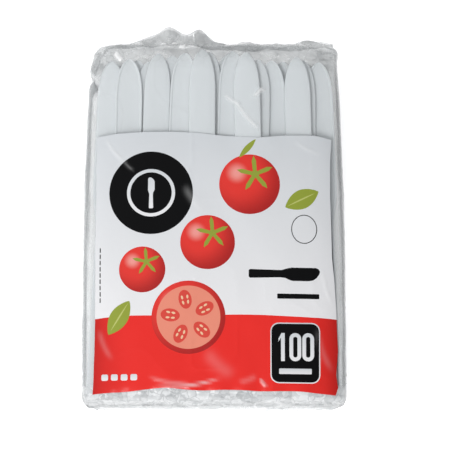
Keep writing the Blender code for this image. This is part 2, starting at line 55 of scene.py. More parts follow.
# The knives, as the frame has them.
KNIFE_LENGTH = 163 * MM
HANDLE_END_WIDTH = 6.4 * MM
HANDLE_WIDTH = 9.2 * MM
NECK_WIDTH = 8.4 * MM
BLADE_WIDTH = 13 * MM
TIP_WIDTH = 2.2 * MM
KNIFE_HEIGHT = 3.4 * MM
BLADE_HEIGHT = 1.5 * MM
WEB = 1.2 * MM
RIM = 0.9 * MM
DRAFT = 0.35 * MM
HANDLE_ROUND = 3 * MM
HANDLE_RUN = 74 * MM
NECK_RUN = 10 * MM
BLADE_SWELL = 16 * MM
POINT_LENGTH = 21.6 * MM

# The stack, as the frame has it.
LAYERS = (8, 10, 10, 11, 11, 11, 11, 10, 10, 8)
LIFTED_LAYERS = (1, 0, 0, 0, 0, 0, 0, 0, 0, 1)
HANDLE_PITCH = 12.4 * MM
TIP_PITCH = 11.2 * MM
KNIFE_GAP = 0.3 * MM
PIVOT = 40 * MM
DEEP_SWAY = 0.9 * MM
DEEP_SLIDE = 1.1 * MM
TOP_SWAY = [mm * MM for mm in (1.6, -1.6, 1.3, 2.9, 0.1, 3.5, -1.4, -0.2, 0.6, 0.1)]
TOP_SLIDE = [mm * MM for mm in (0, 0.9, 3.2, 3.0, 4.3, 3.9, 2.9, 0, 1.4, 0.1)]
NEXT_SWAY = [mm * MM for mm in (1.2, 2.2, -3.5, -3.5, 3.5, 1.0, 4.4, 5.2, 3.6, 0.4)]
NEXT_SLIDE = [mm * MM for mm in (0.2, 1.2, 0, 2.6, 3.8, 2.9, 0.2, 0.4, 0.6, 0)]

# The film bag, as the frame has it.
FILM = 0.1 * MM
FLOOR_GAP = 0.4 * MM
TOP_SLACK = 0.9 * MM
HANDLE_SIDE_SLACK = 2.5 * MM
TIP_SIDE_SLACK = 2.8 * MM
WIDEST_HEIGHT = 18 * MM
FLAT_HALF_WIDTH = 46 * MM
CROWN_POWER = 2.2
SHOULDER_POWER = 7.0
HEEL_POWER = 4.5
TAPER_POWER = 3.2
SEAL_MOUTH = 0.5 * MM
BODY_START = 5 * MM
BODY_STEPS = 12
RIPPLE = 0.5 * MM
RIPPLE_ALONG = 61 * MM
RIPPLE_ACROSS = 37 * MM
RIPPLE_ALONG_SKEW = 157 * MM
RIPPLE_ACROSS_SKEW = 251 * MM
RIPPLE_PHASE = 1.3
TIP_GATHER = 1.3 * MM
TIP_GATHER_REACH = 9 * MM
HANDLE_GATHER = 0.7 * MM
HANDLE_GATHER_REACH = 5 * MM
GATHER_PITCH = 15 * MM
GATHER_DRIFT = 203 * MM
GATHER_DRIFT_SIZE = 3.0
SEAL_ROOT_PLEATS = 0.4
SIDE_FADE_POWER = 6
NOTCH_BEFORE_REACH = 12 * MM
NOTCH_DEPTH = 2.6 * MM
NOTCH_SPREAD = 2.4 * MM
CORNER_FOLD = 5 * MM
CORNER_FOLD_RUN = 13 * MM
CORNER_FOLD_POWER = 1.6
PINCH_FADE_POWER = 8
SEAL_HEIGHT = 25 * MM
SEAL_LENGTH = 1.8 * MM
SEAL_LOBES = [
    [mm * MM for mm in lobe]
    for lobe in (
        (-40, 0.6, 7), (-31, 1.2, 5), (-21.5, 7.4, 8), (-6, 6.2, 5),
        (15, 0.8, 8), (33, -1.1, 7), (47, 1.9, 8),
    )
]
HANDLE_END = (
    (-2.7 * MM, 0.070, -2.2 * MM, 0.074, 0.90),
    (-2.5 * MM, 0.150, -2.0 * MM, 0.146, 0.925),
    (-2.1 * MM, 0.232, -1.6 * MM, 0.216, 0.945),
    (-2.1 * MM, 0.380, -1.2 * MM, 0.140, 0.96),
    (-2.1 * MM, 0.600, -1.1 * MM, 0.070, 0.97),
    (-1.8 * MM, 0.800, -0.9 * MM, 0.022, 0.98),
    (-1.1 * MM, 0.925, -0.2 * MM, 0.003, 0.99),
    (0.6 * MM, 0.985, 1.5 * MM, 0.0, 1.0),
)
TIP_END = (
    (0.8 * MM, 0.988, 0.9 * MM, 0.0, 1.0),
    (2.1 * MM, 0.950, 2.4 * MM, 0.035, 0.995),
    (2.9 * MM, 0.860, 3.0 * MM, 0.130, 0.99),
    (3.4 * MM, 0.750, 3.4 * MM, 0.290, 0.985),
    (3.8 * MM, 0.665, 3.8 * MM, 0.460, 0.98),
)
TIP_SEAL_START = 4.4 * MM
TIP_SEAL_WIDTH = 0.97
PINCH_RUNS = [mm * MM for mm in (18, 14.6, 12, 9, 5)]

COLUMNS = len(LAYERS)
MIDDLE = (COLUMNS - 1) / 2
LAYER_PITCH = KNIFE_HEIGHT + KNIFE_GAP
STACK_FLOOR = FILM + FLOOR_GAP
BAG_HEIGHT = STACK_FLOOR + max(LAYERS) * LAYER_PITCH - KNIFE_GAP + TOP_SLACK
REACH = KNIFE_LENGTH + max(TOP_SLIDE)
HANDLE_HALF_WIDTH = MIDDLE * HANDLE_PITCH + HANDLE_WIDTH / 2 + HANDLE_SIDE_SLACK
TIP_HALF_WIDTH = MIDDLE * TIP_PITCH + BLADE_WIDTH / 2 + TIP_SIDE_SLACK

# Where the knives' middle line and handle ends lie in the frame.
BAG_LOW, BAG_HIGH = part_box("film_bag")
ORIGIN = Vector((HANDLE_HALF_WIDTH - BAG_HIGH.x, HANDLE_END[0][0] - BAG_LOW.y, 0.0))


# Small helpers for meshes, noise and smooth curves.

def add_piece(name, verts, faces, material, normals=None):
    """A mesh piece that rides on the pack, with smooth shading."""
    mesh = bpy.data.meshes.new(name)
    mesh.from_pydata(verts, [], faces)
    mesh.validate()
    mesh.shade_smooth()
    if normals is not None:
        mesh.normals_split_custom_set_from_vertices(normals)
    mesh.materials.append(material)
    piece = bpy.data.objects.new(name, mesh)
    bpy.context.scene.collection.objects.link(piece)
    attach(piece, "root")
    return piece


def add_values(piece, name, values):
    """A number or a vector at each vertex, for the material to read."""
    vector = values.ndim == 2
    kind = "FLOAT_VECTOR" if vector else "FLOAT"
    layer = piece.data.attributes.new(name, kind, "POINT")
    layer.data.foreach_set("vector" if vector else "value", values.astype(np.float32).ravel())


def smoothstep(low, high, value):
    share = np.clip((value - low) / (high - low), 0, 1)
    return share * share * (3 - 2 * share)


def hills(x, y, seed):
    """Smooth random hills between minus one and one, about one for each unit."""
    size = 64
    lattice = np.random.default_rng(seed).uniform(-1, 1, (size, size))
    column = np.floor(x).astype(int)
    row = np.floor(y).astype(int)
    u = x - column
    v = y - row
    u = u * u * u * (u * (6 * u - 15) + 10)
    v = v * v * v * (v * (6 * v - 15) + 10)
    left = column % size
    right = (column + 1) % size
    near, far = (
        lattice[line % size, left] * (1 - u) + lattice[line % size, right] * u
        for line in (row, row + 1)
    )
    return near * (1 - v) + far * v


def ridges(x, y, seed):
    """Sharp-crested random ridges between zero and one."""
    return 1 - np.minimum(np.abs(hills(x, y, seed)) * 1.6, 1)


def smooth_rows(at, places, rows):
    """Rows of values between the given ones, smooth and without overshoot."""
    gap = np.diff(places)[:, None]
    rise = np.diff(rows, axis=0) / gap
    product = rise[:-1] * rise[1:]
    total = rise[:-1] + rise[1:]
    bend = np.where(product > 0, 2 * product / np.where(total == 0, 1, total), 0)
    slope = np.vstack((rise[:1], bend, rise[-1:]))
    at = np.clip(at, places[0], places[-1])
    k = np.clip(np.searchsorted(places, at, side="right") - 1, 0, len(places) - 2)
    t = ((at - places[k]) / gap[k, 0])[:, None]
    start = (1 + 2 * t) * (1 - t) ** 2 * rows[k] + t * (1 - t) ** 2 * gap[k] * slope[k]
    end = t * t * (3 - 2 * t) * rows[k + 1] + t * t * (t - 1) * gap[k] * slope[k + 1]
    return start + end


# The smooth form of the film bag, as in the frame.

def crown(share):
    return (1 - np.minimum(np.abs(share), 1) ** CROWN_POWER) ** (1 / SHOULDER_POWER)


def half_width(run):
    share = np.clip(run / REACH, 0, 1) ** TAPER_POWER
    return HANDLE_HALF_WIDTH + (TIP_HALF_WIDTH - HANDLE_HALF_WIDTH) * share


def side_fade(across):
    return 1 - np.minimum(np.abs(across), 1) ** SIDE_FADE_POWER


def ripple(x, run):
    turn = 2 * math.pi
    along = np.sin(turn * (run / RIPPLE_ALONG + x / RIPPLE_ALONG_SKEW))
    across = np.sin(turn * (x / RIPPLE_ACROSS + run / RIPPLE_ACROSS_SKEW) + RIPPLE_PHASE)
    return RIPPLE * (1 + along * across) / 2


def pleat(x):
    drift = GATHER_DRIFT_SIZE * np.sin(2 * math.pi * x / GATHER_DRIFT)
    return np.sin(2 * math.pi * x / GATHER_PITCH + drift)


def gather(x, run):
    to_tips = np.maximum(REACH + TIP_SEAL_START - run, 0) / TIP_GATHER_REACH
    to_handles = np.abs(run) / HANDLE_GATHER_REACH
    return (TIP_GATHER * np.exp(-to_tips) + HANDLE_GATHER * np.exp(-to_handles)) * (1 + pleat(x))


def seal_length(x):
    lobes = [rise * np.exp(-(((x - centre) / spread) ** 2)) for centre, rise, spread in SEAL_LOBES]
    return SEAL_LENGTH + sum(lobes)


def left_pinch(run):
    from_notch = (run - (REACH - NOTCH_BEFORE_REACH)) / NOTCH_SPREAD
    fold = np.clip((run - (REACH + TIP_SEAL_START)) / CORNER_FOLD_RUN + 1, 0, 1)
    return NOTCH_DEPTH * np.exp(-from_notch * from_notch) + CORNER_FOLD * fold ** CORNER_FOLD_POWER


def section_table():
    """Half of the bag's section, from the middle of the top: arc length, width and height."""
    turn = np.linspace(0, math.pi / 2, 600)
    top_x = np.sin(turn) * HANDLE_HALF_WIDTH
    top_z = WIDEST_HEIGHT + (BAG_HEIGHT - WIDEST_HEIGHT) * crown(np.sin(turn))
    out = np.cos(turn) ** (2 / HEEL_POWER)
    down = np.sin(turn) ** (2 / HEEL_POWER)
    heel_x = FLAT_HALF_WIDTH + (HANDLE_HALF_WIDTH - FLAT_HALF_WIDTH) * out
    heel_z = WIDEST_HEIGHT * (1 - down)
    x = np.concatenate((top_x, heel_x[1:], [0.0]))
    z = np.concatenate((top_z, heel_z[1:], [0.0]))
    arc = np.concatenate(([0.0], np.cumsum(np.hypot(np.diff(x), np.diff(z)))))
    return arc, x / HANDLE_HALF_WIDTH, z / BAG_HEIGHT, arc[len(top_x) - 1], arc[-2]


SECTION_ARC, SECTION_X, SECTION_Z, WIDEST_ARC, FLAT_ARC = section_table()
HALF_RING = SECTION_ARC[-1]


def station_table():
    """Upper run and height, lower run and height, half width, pleats and seal, by way."""
    rows = []
    for up_run, up, low_run, low, wide in HANDLE_END:
        rows.append((up_run, up * BAG_HEIGHT, low_run, low * BAG_HEIGHT, wide * half_width(0), 0, 0))
    last = REACH - PINCH_RUNS[0]
    runs = [BODY_START + (last - BODY_START) * i / BODY_STEPS for i in range(BODY_STEPS)]
    for run in runs + [REACH - before for before in PINCH_RUNS]:
        rows.append((run, BAG_HEIGHT, run, 0.0, half_width(run), 0, 0))
    for up_run, up, low_run, low, wide in TIP_END:
        width = wide * half_width(REACH)
        rows.append((REACH + up_run, up * BAG_HEIGHT, REACH + low_run, low * BAG_HEIGHT, width, 0, 0))
    for share in (0.0, 0.5, 1.0):
        run = REACH + TIP_SEAL_START
        pleats = SEAL_ROOT_PLEATS + (1 - SEAL_ROOT_PLEATS) * share
        high = SEAL_HEIGHT + SEAL_MOUTH / 2
        low = SEAL_HEIGHT - SEAL_MOUTH / 2
        rows.append((run, high, run, low, TIP_SEAL_WIDTH * half_width(REACH), pleats, share))
    rows = np.array(rows)
    step = np.hypot(np.diff(rows[:, 0]), np.diff(rows[:, 1])) + 2 * SEAL_LENGTH * np.diff(rows[:, 6])
    way = np.concatenate(([0.0], np.cumsum(step)))
    body = len(HANDLE_END)
    return way - way[body] + BODY_START, rows


WAYS, STATIONS = station_table()


def film_base(arc, way):
    """Points of the unwrinkled film.

    Arc runs round the section from the middle of the top, to the right. Way runs along
    the upper sheet, and is the run from the handle ends on the pack's body.
    """
    across = np.interp(np.abs(arc), SECTION_ARC, SECTION_X) * np.sign(arc)
    rise = np.interp(np.abs(arc), SECTION_ARC, SECTION_Z)
    up_run, up, low_run, low, wide, pleats, seal = smooth_rows(way, WAYS, STATIONS).T
    run = low_run + (up_run - low_run) * rise
    x = across * wide + np.where(across < 0, left_pinch(run) * np.abs(across) ** PINCH_FADE_POWER, 0)
    z = low + (up - low) * rise
    upper = np.maximum(rise - WIDEST_HEIGHT / BAG_HEIGHT, 0) * side_fade(across)
    z = z + upper * (ripple(x, run) + gather(x, run)) + pleats * TIP_GATHER * pleat(x) * side_fade(across)
    run = run + seal * seal_length(x)
    return np.stack((x, run, z), axis=-1) - np.array(ORIGIN)


def film_normal(arc, way):
    """The unwrinkled film's outward direction."""
    step = 0.3 * MM
    round_it = film_base(arc + step, way) - film_base(arc - step, way)
    along_it = film_base(arc, way + step) - film_base(arc, way - step)
    normal = np.cross(round_it, along_it)
    length = np.linalg.norm(normal, axis=1, keepdims=True)
    return normal / np.maximum(length, 1e-12)


def arc_of(x, run):
    """The arc length from the middle of the top to a place on the upper sheet."""
    share = np.clip(np.abs(x) / half_width(run), 0, 1)
    return np.sign(x) * np.interp(share, SECTION_X[:600], SECTION_ARC[:600])


# Wrinkles of the film, in heights along its outward direction.

# Creases seen on the front: two ends, half width and height, in millimetres.
CREASES = (
    (-52.8, 123.6, -43.7, 112.4, 0.8, 0.26),
    (-43.7, 112.4, -39.0, 108.0, 0.6, 0.12),
    (-26.4, 4.2, 1.9, 7.6, 0.6, 0.42),
    (-30.0, 8.5, -12.0, 5.6, 0.8, 0.16),
    (-54.7, 31.1, -48.5, 17.4, 1.2, 0.08),
    (5.0, 145.0, 13.0, 139.7, 1.1, 0.30),
    (11.0, 141.0, 22.6, 127.5, 1.0, 0.36),
    (19.6, 144.0, 23.5, 148.0, 1.0, 0.36),
    (23.0, 148.4, 25.4, 146.4, 0.9, 0.25),
    (22.0, 7.6, 24.6, 4.2, 0.7, 0.40),
    (-4.0, 21.0, 9.0, 9.0, 3.0, 0.07),
    (12.0, 6.0, 20.0, 9.0, 1.2, 0.10),
    (49.0, 31.0, 56.0, 12.0, 1.4, 0.07),
    (52.0, 60.0, 56.5, 44.0, 1.0, 0.20),
    (-14.0, 100.0, -5.0, 88.0, 1.6, 0.12),
    (40.0, 122.0, 52.0, 116.0, 0.9, 0.16),
    (-27.5, 172.0, -24.5, 172.4, 0.8, 0.9),
    (-21.8, 172.6, -18.8, 172.2, 0.9, 0.9),
    (-18.0, 168.2, -14.5, 168.6, 0.6, 0.8),
    (5.0, 173.0, 8.5, 173.4, 0.8, 0.9),
    (11.5, 173.6, 19.5, 172.6, 0.8, 0.9),
    (36.5, 174.6, 40.5, 174.0, 0.8, 0.9),
    (43.0, 176.6, 47.5, 176.0, 0.8, 0.9),
    (-50.5, 166.0, -46.5, 162.0, 1.0, 0.7),
)


def crease(x, y, low_x, low_y, high_x, high_y, half, height):
    """One ridge with thin ends, at places in millimetres."""
    way_x = high_x - low_x
    way_y = high_y - low_y
    length = math.hypot(way_x, way_y)
    along = ((x - low_x) * way_x + (y - low_y) * way_y) / length
    aside = ((x - low_x) * way_y - (y - low_y) * way_x) / length
    taper = smoothstep(-0.1, 0.25, along / length) * smoothstep(-0.1, 0.25, 1 - along / length)
    bow = 0.05 * length * np.sin(np.clip(along / length, 0, 1) * math.pi)
    return height * taper * np.exp(-((aside - bow) / half) ** 2)


def wrinkles(arc, way):
    """How far the film stands off its smooth form, and how strongly it is creased."""
    a = arc / MM
    b = way / MM
    highest = WAYS[-1] / MM
    widest = WIDEST_ARC / MM
    walls = smoothstep(widest - 22, widest - 6, np.abs(a))
    under = 1 - smoothstep(FLAT_ARC / MM - 9, FLAT_ARC / MM - 1, np.abs(a))
    lowest = WAYS[0] / MM
    handles = (1 - smoothstep(1.5, 6.5, b)) * (0.4 + 0.6 * smoothstep(lowest + 10, lowest + 34, b))
    rough = 1 - smoothstep(-5, 3, b)
    tips = smoothstep(highest - 32, highest - 19, b)
    warp_a = a + 3.0 * hills(a / 17, b / 17, 11)
    warp_b = b + 3.0 * hills(a / 17, b / 17, 12)
    dents = 0.26 * hills(a / 23, b / 33, 1) + 0.13 * hills(warp_a / 11, warp_b / 15, 2)
    sharp = ridges(warp_a / 19, warp_b / 26, 3) ** 6
    faint = 0.10 * sharp * (1 + hills(a / 40, b / 40, 4))
    streaks = ridges(warp_a / 5, b / 70, 5) ** 3 + 0.6 * ridges(warp_a / 2.6, b / 40, 6) ** 4
    crumple = ridges(warp_a / 8.5, warp_b / 7, 7) ** 2 + 0.5 * ridges(warp_a / 4.2, warp_b / 3.6, 8) ** 2
    soft = hills((a + 0.7 * b) / 17, (b - 0.2 * a) / 6, 9)
    soft_fold = ridges((a - 0.8 * b) / 15, (b + 0.15 * a) / 9, 10) ** 3
    placed = sum(crease(a, b, *row) for row in CREASES)
    height = dents + faint + 0.30 * streaks * walls + 0.8 * rough * crumple * (1 - 0.4 * walls)
    height += tips * (0.55 * soft + 0.6 * soft_fold) + placed
    folds = 0.5 * sharp + streaks * walls * 0.6 + rough * crumple ** 2 + tips * soft_fold
    calm_seal = 1 - smoothstep(highest - 5, highest - 2, b)
    flap = smoothstep(highest - 6.5, highest - 4, b)
    # Shine marks the given creases for painted glints: the film and ink materials whiten there.
    marks = {"folds": folds, "shine": placed / 0.3, "handles": handles, "tips": tips, "flap": flap}
    marks["walls"] = walls * under * (1 - flap)
    return np.maximum(height, -0.35) * MM * under * calm_seal, marks


def film_points(arc, way, lift=0.0):
    height, marks = wrinkles(arc, way)
    points = film_base(arc, way) + film_normal(arc, way) * (height + lift)[:, None]
    flap = smoothstep(WAYS[-1] - 9 * MM, WAYS[-1], way)
    top = smoothstep(WIDEST_ARC + 20 * MM, WIDEST_ARC, np.abs(arc))
    slack = smoothstep(WAYS[-1] - 22 * MM, WAYS[-1] - 8 * MM, way) * (1 - 0.4 * flap) * MM
    x = points[:, 0] / MM
    y = points[:, 1] / MM
    waves = 2.4 * hills(x / 14, way / MM / 11, 31) + 0.8 * hills(x / 5, way / MM / 7, 32)
    points[:, 1] += slack * top * waves
    points[:, 2] += slack * top * (1.4 * hills(x / 10, way / MM / 14, 33) + 0.6)
    points[:, 2] += flap * MM * (1.6 * hills(x / 11, y / 9, 21) + 0.5 * hills(x / 4, y / 5, 22))
    points[:, 1] += flap * MM * 0.6 * hills(x / 9, 0 * x, 23)
    return points, marks


TOP_CELL = 0.78 * MM
HEEL_CELL = 1.3 * MM
FLAT_CELLS = 12
END_CELL = 0.7 * MM
BODY_CELL = 1.1 * MM
HANDLE_END_RUN = 8 * MM
TIP_END_RUN = 28 * MM
PRINT_DIP = 0.15 * MM
PRINT_DIP_FADE = 3 * MM
PRINT_DIP_REACH = 122 * MM
PRINT_DIP_HALF_WIDTH = 55 * MM


def film_mesh_lines():
    """Where the film's mesh lines lie: finer on top and towards the two ends."""
    top = WIDEST_ARC + 6 * MM
    half = np.concatenate((
        np.arange(0, top, TOP_CELL),
        np.arange(top, FLAT_ARC, HEEL_CELL),
        np.linspace(FLAT_ARC, HALF_RING, FLAT_CELLS),
    ))
    arcs = np.concatenate((-half[::-1], half[1:-1]))
    ways = np.concatenate((
        np.arange(WAYS[0], HANDLE_END_RUN, END_CELL),
        np.arange(HANDLE_END_RUN, REACH - TIP_END_RUN, BODY_CELL),
        np.arange(REACH - TIP_END_RUN, WAYS[-1], END_CELL),
        WAYS[-1:],
    ))
    return arcs, ways


def add_film(material):
    """The film as one fine sheet, a little lower under its print."""
    arcs, ways = film_mesh_lines()
    grid_arc, grid_way = np.meshgrid(arcs, ways)
    grid_arc = grid_arc.ravel()
    grid_way = grid_way.ravel()
    under_print = smoothstep(0, PRINT_DIP_FADE, grid_way)
    for past in (PRINT_DIP_REACH - grid_way, PRINT_DIP_HALF_WIDTH - np.abs(grid_arc)):
        under_print *= smoothstep(0, PRINT_DIP_FADE, past)
    verts, marks = film_points(grid_arc, grid_way, -PRINT_DIP * under_print)
    verts[:, 2] = np.maximum(verts[:, 2], 0.0)
    across = len(arcs)
    faces = []
    for row in range(len(ways) - 1):
        for column in range(across):
            after = (column + 1) % across
            start = row * across
            faces.append((start + column, start + after, start + across + after, start + across + column))
    film = add_piece("film", verts, faces, material)
    for name, values in marks.items():
        add_values(film, name, values)
    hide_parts("film_bag")
    return film


# The print on the front, in millimetres: x across, and way up from the handle ends.

PRINT_LIFT = 0.12 * MM
PRINT_CELL = 1.2
PANEL_BOTTOM = 0.5
BAND_TOP = 38.0
PANEL_LEFT_EDGE = ((-0.3, -57.4), (6, -57.0), (20, -56.6), (38, -56.4), (80, -56.3), (125, -56.2))
PANEL_RIGHT_EDGE = (
    (-0.3, 57.2), (4, 58.6), (10, 57.8), (22, 58.8), (38, 58.2),
    (56, 57.2), (66, 56.2), (82, 55.9), (98, 55.5), (112, 55.6), (125, 56.4),
)
PANEL_TOP_EDGE = (
    (-56.2, 124.8), (-48, 125.9), (-34, 126.6), (-20, 126.6), (-7, 126.0),
    (4, 124.6), (21, 123.8), (33, 124.9), (48, 125.2), (56.4, 123.6),
)
BAND_DROP = 1.4
BADGE = (-30.0, 97.0, 20.0)
PLATE_RING = (11.5, 1.6)
COUNT = (38.5, 20.1, 22.5, 27.8, 3.5)
DIGIT_RAISE = 2.8
DIGITS = (13.4, 5.6, 1.8, 6.1)
FIGURE_ONE = (
    (-0.5, -0.5), (0.5, -0.5), (0.5, 0.5), (-0.35, 0.5), (-1.15, 0.30), (-1.15, 0.19), (-0.5, 0.33),
)
KNIFE_SIGN = (33.5, 58.0, 34.0, 7.0)
TOMATOES = {
    "tomato_upper": (17.0, 101.0, 14.5),
    "tomato_middle": (-3.0, 73.0, 13.0),
    "tomato_lower": (-34.0, 60.0, 11.0),
}
CUT_TOMATO = (-12.0, 37.0, 17.5, 2.4)
CHAMBERS = 5
LEAVES = {
    "leaf_upper": (34.0, 90.0, 50.0, 98.0, 4.6),
    "leaf_lower": (-40.0, 45.0, -50.0, 29.0, 4.4),
}


def band_rule(x):
    """The red band's upper edge, lower towards the sides."""
    return BAND_TOP - BAND_DROP * (abs(x) / 57.0) ** 4 + 0.25 * math.sin(x / 9.0)


def top_rule(x):
    """The white panel's upper edge."""
    edge = np.array(PANEL_TOP_EDGE)
    return float(np.interp(x, edge[:, 0], edge[:, 1]))


def bottom_rule(x):
    """The red band's lower edge, higher in the middle and where the film is drawn up."""
    rise = 1.9 * (1 - (abs(x) / 57.0) ** 3) + math.exp(-(((x + 26.0) / 16.0) ** 2))
    return PANEL_BOTTOM + rise + 0.25 * math.sin(x / 5.0)


def field_loop(low_rule, high_rule):
    """The outline of a printed field between two edges, each a rule of height by place."""
    left = np.array(PANEL_LEFT_EDGE)
    right = np.array(PANEL_RIGHT_EDGE)
    loop = []
    for rule, edge, other in ((low_rule, left, right), (high_rule, right, left)):
        start = float(np.interp(rule(edge[0, 1]), edge[:, 0], edge[:, 1]))
        end = float(np.interp(rule(other[0, 1]), other[:, 0], other[:, 1]))
        loop += [(float(x), rule(float(x))) for x in np.linspace(start, end, 90)]
        rise = high_rule(end) if rule is low_rule else low_rule(end)
        heights = np.linspace(rule(end), rise, max(2, int(abs(rise - rule(end)) / PRINT_CELL)))
        loop += [(float(np.interp(y, other[:, 0], other[:, 1])), float(y)) for y in heights[1:-1]]
    return loop


def round_loop(x, y, radius, tall=None, cell=0.9):
    tall = radius if tall is None else tall
    steps = max(20, int(2 * math.pi * max(radius, tall) / cell))
    turns = [2 * math.pi * i / steps for i in range(steps)]
    return [(x + radius * math.cos(a), y + tall * math.sin(a)) for a in turns]


def box_loop(x, y, wide, tall, corner):
    """A box with round corners, about its centre."""
    loop = []
    for quarter, (sx, sy) in enumerate(((1, 1), (-1, 1), (-1, -1), (1, -1))):
        for i in range(7):
            turn = math.pi / 2 * (quarter + i / 6)
            loop.append((
                x + sx * (wide / 2 - corner) + corner * math.cos(turn),
                y + sy * (tall / 2 - corner) + corner * math.sin(turn),
            ))
    return loop


def leaf_loop(x0, y0, x1, y1, bulge, steps=18):
    way = Vector((x1 - x0, y1 - y0))
    side = Vector((-way.y, way.x)).normalized() * bulge
    right = []
    left = []
    for i in range(steps + 1):
        share = i / steps
        swell = side * max(math.sin(math.pi * share), 0) ** 0.8
        middle = Vector((x0, y0)) + way * share
        right.append(tuple(middle - swell))
        left.append(tuple(middle + swell))
    return right + left[-2:0:-1]


def vein_of(row):
    """The middle line of a leaf, a little short of its ends."""
    x0, y0, x1, y1, _ = row
    return x0 + 0.06 * (x1 - x0), y0 + 0.06 * (y1 - y0), x1 - 0.1 * (x1 - x0), y1 - 0.1 * (y1 - y0)


def tilted_oval(x, y, reach, turn, along, across, steps=22):
    """An oval whose long side lies along a ray from a centre."""
    loop = []
    for i in range(steps):
        angle = 2 * math.pi * i / steps
        u = reach + along * math.cos(angle)
        v = across * math.sin(angle)
        loop.append((
            x + u * math.cos(turn) - v * math.sin(turn),
            y + u * math.sin(turn) + v * math.cos(turn),
        ))
    return loop


def star_loop(x, y, reach, waist, points, turned):
    """A plain star of slim leaves, as a tomato has round its stalk."""
    loop = []
    for i in range(points * 8):
        turn = 2 * math.pi * i / (points * 8) + turned
        share = abs(math.cos(points * (turn - turned) / 2)) ** 5
        radius = waist + (reach - waist) * share
        loop.append((x + radius * math.cos(turn), y + radius * math.sin(turn)))
    return loop


def sign_knife_loop(x, y, length, width):
    """A plain knife seen flat: a slim handle and a broad rounded blade."""
    outline = (
        (0.0, -0.22), (0.02, -0.30), (0.44, -0.26), (0.51, -0.30), (0.58, -0.46), (0.62, -0.5),
        (0.84, -0.5), (0.90, -0.44), (0.95, -0.28), (0.985, -0.04), (1.0, 0.16), (0.98, 0.34),
        (0.94, 0.42), (0.60, 0.42), (0.54, 0.36), (0.46, 0.24), (0.02, 0.30), (0.0, 0.22),
    )
    return [(x + (u - 0.5) * length, y + v * width) for u, v in outline]


def print_regions():
    """Each printed field as its piece, node, ink and outlines. Later ones lie on top."""
    regions = []

    def field(name, node, ink, *loops):
        regions.append((f"print_{name}", node, ink, loops))

    field("panel", "white_panel", "white", field_loop(band_rule, top_rule))
    field("band", "red_band", "red", field_loop(bottom_rule, band_rule))
    x, y, radius = BADGE
    field("badge", "badge_disc", "black", round_loop(x, y, radius))
    outer, wide = PLATE_RING
    ring = (round_loop(x, y, outer), round_loop(x, y, outer - wide))
    field("plate_ring", "badge_plate_ring", "white", *ring)
    field("knife_sign", "knife_sign", "black", sign_knife_loop(*KNIFE_SIGN))
    for node, row in TOMATOES.items():
        field(node, node, "tomato", round_loop(*row))
    x, y, radius, rind = CUT_TOMATO
    field("cut_tomato", "cut_tomato", "tomato", round_loop(x, y, radius))
    field("cut_flesh", "cut_tomato_flesh", "flesh", round_loop(x, y, radius - rind))
    chambers = []
    seeds = []
    for i in range(CHAMBERS):
        turn = 2 * math.pi * i / CHAMBERS + 0.5
        chambers.append(tilted_oval(x, y, 8.7, turn, 4.6, 3.1))
        for reach, aside in ((7.4, -0.16), (9.9, -0.13), (9.9, 0.13), (7.4, 0.16)):
            seeds.append(tilted_oval(x, y, reach, turn + aside, 0.95, 0.5))
    field("cut_chambers", None, "pulp", *chambers)
    field("cut_seeds", None, "seed", *seeds)
    for node, row in LEAVES.items():
        field(node, node, "leaf", leaf_loop(*row))
    field("stalk", "tomato_stalk", "leaf", leaf_loop(12, 114, 20, 123, 1.4))
    field("leaf_veins", None, "vein", *(leaf_loop(*vein_of(row), 0.35) for row in LEAVES.values()))
    for node, (x, y, radius) in TOMATOES.items():
        star = star_loop(x + 0.18 * radius, y + 0.34 * radius, 0.62 * radius, 0.13 * radius, 5, 0.4)
        field(f"{node}_calyx", None, "leaf", star)
    x, y, wide, tall, corner = COUNT
    field("count_rim", None, "white", box_loop(x, y, wide + 1.1, tall + 1.1, corner + 0.5))
    field("count_plate", "count_plate", "black", box_loop(x, y, wide, tall, corner))
    field("count_bar", None, "white", box_loop(x, y - 8.7, 15.5, 2.6, 0.4))
    tall, wide, stroke, pitch = DIGITS
    high = y + DIGIT_RAISE
    left = x - pitch + 0.2
    one = [(left + u * stroke, high + v * tall) for u, v in FIGURE_ONE]
    field("digit_one", "digit_one", "white", one)
    for node, centre in (("digit_zero_left", x), ("digit_zero_right", x + pitch)):
        outer = box_loop(centre, high, wide, tall, wide / 2 - 0.05)
        inner = box_loop(centre, high, wide - 2 * stroke, tall - 2 * stroke, wide / 2 - stroke - 0.05)
        field(node, node, "white", outer, inner)
    x, y, _ = BADGE
    upright = [(x - v, y + u) for u, v in sign_knife_loop(0, 0, 15.0, 3.4)]
    field("badge_knife", None, "white", upright)
    field("sign_bar", None, "black", box_loop(40.0, 47.2, 20.0, 2.4, 0.4))
    stamp = (round_loop(43.0, 79.5, 6.2, 7.0), round_loop(43.0, 79.5, 5.8, 6.6))
    field("stamp", None, "black", *stamp)
    marks = [box_loop(-51.5 + 4.6 * i, 8.6, 3.2, 3.0, 0.8) for i in range(4)]
    field("band_marks", None, "white", *marks)
    rules = [box_loop(-54.0, 45.5 + 3.0 * i, 0.5, 2.2, 0.15) for i in range(9)]
    field("fine_rules", None, "black", *rules)
    return regions


def inside(points, loop):
    """For each point, whether it lies within the closed outline."""
    x = points[:, 0]
    y = points[:, 1]
    odd = np.zeros(len(points), bool)
    for (ax, ay), (bx, by) in zip(loop, loop[1:] + loop[:1]):
        if ay == by:
            continue
        cross = ((ay > y) != (by > y)) & (x < ax + (bx - ax) * (y - ay) / (by - ay))
        odd ^= cross
    return odd


